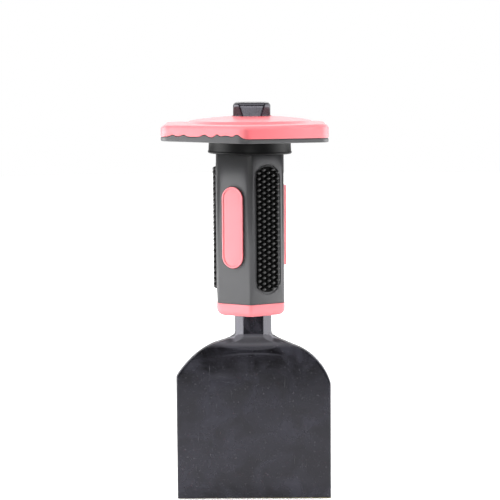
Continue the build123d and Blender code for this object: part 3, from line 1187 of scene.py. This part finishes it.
def softbox(name, power, size, place, aim):
    """A soft area light that the camera doesn't see."""
    light = bpy.data.lights.new(name, "AREA")
    light.energy = power
    light.shape = "RECTANGLE"
    light.size, light.size_y = size
    lamp = bpy.data.objects.new(name, light)
    lamp.location = place
    lamp.rotation_euler = (Vector(aim) - Vector(place)).to_track_quat("-Z", "Y").to_euler()
    lamp.visible_camera = False
    bpy.context.scene.collection.objects.link(lamp)


def white_surround():
    """White to the eye behind the object, and a dim even room in reflections."""
    world = bpy.data.worlds.new("studio")
    world.use_nodes = True
    tree = world.node_tree
    tree.nodes.clear()
    seen = add_node(tree, "ShaderNodeBackground", {"Color": (1, 1, 1, 1), "Strength": 1.0})
    room = add_node(tree, "ShaderNodeBackground", {"Color": (1, 1, 1, 1), "Strength": 0.15})
    path = add_node(tree, "ShaderNodeLightPath")
    both = add_node(
        tree, "ShaderNodeMixShader",
        {0: path.outputs["Is Camera Ray"], 1: room.outputs[0], 2: seen.outputs[0]},
    )
    add_node(tree, "ShaderNodeOutputWorld", {"Surface": both.outputs[0]})
    bpy.context.scene.world = world


class BOLSTER_OT_stage(bpy.types.Operator):
    """Lay the pale floor and set up the lights and the camera"""

    bl_idname = "bolster.stage"
    bl_label = "Stage"

    def execute(self, context):
        stage = context.scene.bolster_stage
        bm = bmesh.new()
        bmesh.ops.create_circle(bm, cap_ends=True, segments=96, radius=FLOOR_RADIUS)
        bmesh.ops.translate(bm, verts=bm.verts, vec=(0, FLOOR_RADIUS - FLOOR_FRONT, -0.02 * MM))
        mesh = bpy.data.meshes.new("studio_floor")
        bm.to_mesh(mesh)
        bm.free()
        mesh.materials.append(pale_paper("white studio paper"))
        ground = bpy.data.objects.new("studio_floor", mesh)
        context.scene.collection.objects.link(ground)

        white_surround()
        for name, size, place, aim in SOFTBOXES:
            softbox(f"{name}_softbox", getattr(stage, f"{name}_power"), size, place, aim)

        camera = bpy.data.cameras.new("main_camera")
        camera.lens = stage.lens
        viewer = bpy.data.objects.new("main_camera", camera)
        target = Vector((stage.side, 0.0, stage.aim_height))
        back = Vector((0.0, -cos(stage.elevation), sin(stage.elevation)))
        viewer.location = target + back * stage.distance / cos(stage.elevation)
        viewer.rotation_euler = (-back).to_track_quat("-Z", "Y").to_euler()
        viewer.rotation_euler.rotate_axis("Z", stage.roll)
        context.scene.collection.objects.link(viewer)
        context.scene.camera = viewer
        context.scene.view_settings.view_transform = "Standard"
        return {"FINISHED"}


class BOLSTER_PT_panel(bpy.types.Panel):
    """Lists the steps that build the chisel"""

    bl_idname = "BOLSTER_PT_panel"
    bl_label = "Bolster"
    bl_space_type = "VIEW_3D"
    bl_region_type = "UI"
    bl_category = "Bolster"

    def draw(self, context):
        for operator in STEPS:
            self.layout.operator(operator.bl_idname)


STEPS = (
    BOLSTER_OT_forging,
    BOLSTER_OT_core,
    BOLSTER_OT_sleeve,
    BOLSTER_OT_pads,
    BOLSTER_OT_inlays,
    BOLSTER_OT_end_ring,
    BOLSTER_OT_guard_base,
    BOLSTER_OT_guard_shell,
    BOLSTER_OT_stage,
)
CLASSES = (BolsterSizes, BolsterColours, BolsterStage, *STEPS, BOLSTER_PT_panel)


def register():
    """Register the classes and hang their settings on the scene."""
    for item in CLASSES:
        bpy.utils.register_class(item)
    bpy.types.Scene.bolster_sizes = PointerProperty(type=BolsterSizes)
    bpy.types.Scene.bolster_colours = PointerProperty(type=BolsterColours)
    bpy.types.Scene.bolster_stage = PointerProperty(type=BolsterStage)


def unregister():
    """Take the settings and classes away again."""
    del bpy.types.Scene.bolster_stage
    del bpy.types.Scene.bolster_colours
    del bpy.types.Scene.bolster_sizes
    for item in reversed(CLASSES):
        bpy.utils.unregister_class(item)


def main():
    """Build every piece in order."""
    register()
    bpy.ops.bolster.forging()
    bpy.ops.bolster.core()
    bpy.ops.bolster.sleeve()
    bpy.ops.bolster.pads()
    bpy.ops.bolster.inlays()
    bpy.ops.bolster.end_ring()
    bpy.ops.bolster.guard_base()
    bpy.ops.bolster.guard_shell()
    bpy.ops.bolster.stage()


if __name__ == "__main__":
    main()
